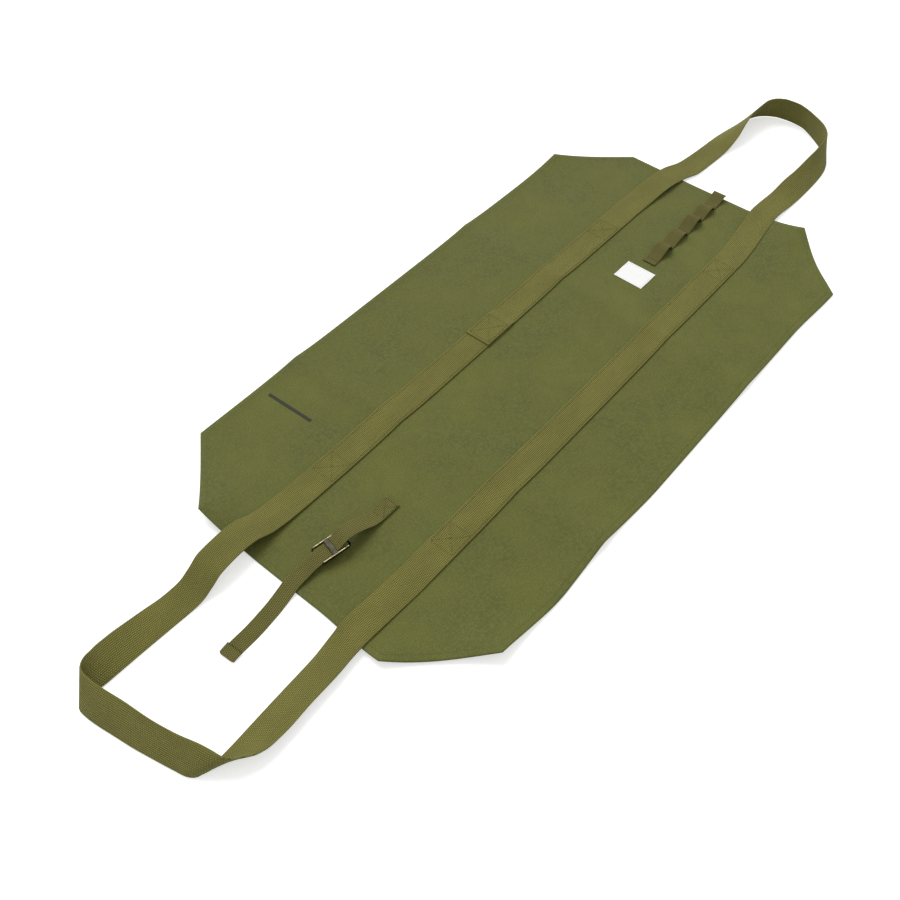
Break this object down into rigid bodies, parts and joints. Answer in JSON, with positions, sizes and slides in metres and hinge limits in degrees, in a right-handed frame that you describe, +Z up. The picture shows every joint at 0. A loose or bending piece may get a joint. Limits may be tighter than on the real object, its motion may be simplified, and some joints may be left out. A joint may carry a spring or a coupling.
{
  "type": "folding firewood carrier",
  "caption": "Eight-sided canvas sheet that folds round a stack of logs, with webbing rails that run on as carrying loops, a closing strap with a metal slide and a strap of gear loops.",
  "frame": {"origin": "middle of the canvas sheet's rectangle, on the surface that it lies on", "axes": "+X along the sheet to the end with the gear loops, +Y across it to the rail with the webbing lap, +Z up"},
  "size_m": [1.3869, 0.477, 0.038],
  "materials": {
    "canvas": "waxed olive cotton canvas, matte",
    "webbing": "olive ribbed webbing, 38 mm",
    "strap_webbing": "olive webbing, 20 mm",
    "gear_webbing": "dark olive webbing, 20 mm",
    "slide_metal": "antique brass, brushed and worn bright on its edges",
    "label": "bare white cotton label"
  },
  "bodies": {
    "middle_panel": {"middle_canvas_panel": "canvas", "left_rail_middle": "webbing", "left_rail_lap": "webbing", "right_rail_middle": "webbing"},
    "near_panel": {"near_canvas_panel": "canvas", "left_rail_near": "webbing", "right_rail_near": "webbing", "closing_strap_base": "strap_webbing"},
    "far_panel": {"far_canvas_panel": "canvas", "left_rail_far": "webbing", "right_rail_far": "webbing", "gear_loop_strap": "gear_webbing", "label_patch": "label"},
    "near_loop": {"near_carry_loop": "webbing"},
    "far_loop": {"far_carry_loop": "webbing"},
    "strap": {"closing_strap": "strap_webbing", "closing_strap_tip": "strap_webbing"},
    "slide": {"strap_slide": "slide_metal"}
  },
  "joints": [
    {"name": "near_fold", "type": "hinge", "parent": "middle_panel", "child": "near_panel", "pos_m": [-0.191, 0, 0.0042], "axis": [0, 1, 0], "range_deg": [0, 100]},
    {"name": "far_fold", "type": "hinge", "parent": "middle_panel", "child": "far_panel", "pos_m": [0.141, 0, 0.0042], "axis": [0, -1, 0], "range_deg": [0, 100]},
    {"name": "near_loop_swing", "type": "hinge", "parent": "near_panel", "child": "near_loop", "pos_m": [-0.318, 0, 0.0045], "axis": [0, -1, 0], "range_deg": [-160, 0]},
    {"name": "far_loop_swing", "type": "hinge", "parent": "far_panel", "child": "far_loop", "pos_m": [0.3, 0, 0.0045], "axis": [0, 1, 0], "range_deg": [-145, 0]},
    {"name": "strap_flip", "type": "hinge", "parent": "near_panel", "child": "strap", "pos_m": [-0.32, -0.012, 0.0041], "axis": [0, -1, 0], "range_deg": [-150, 0]},
    {"name": "slide_travel", "type": "slide", "parent": "strap", "child": "slide", "axis": [-0.988, 0.0988, -0.1187], "range_m": [0, 0.038]}
  ]
}
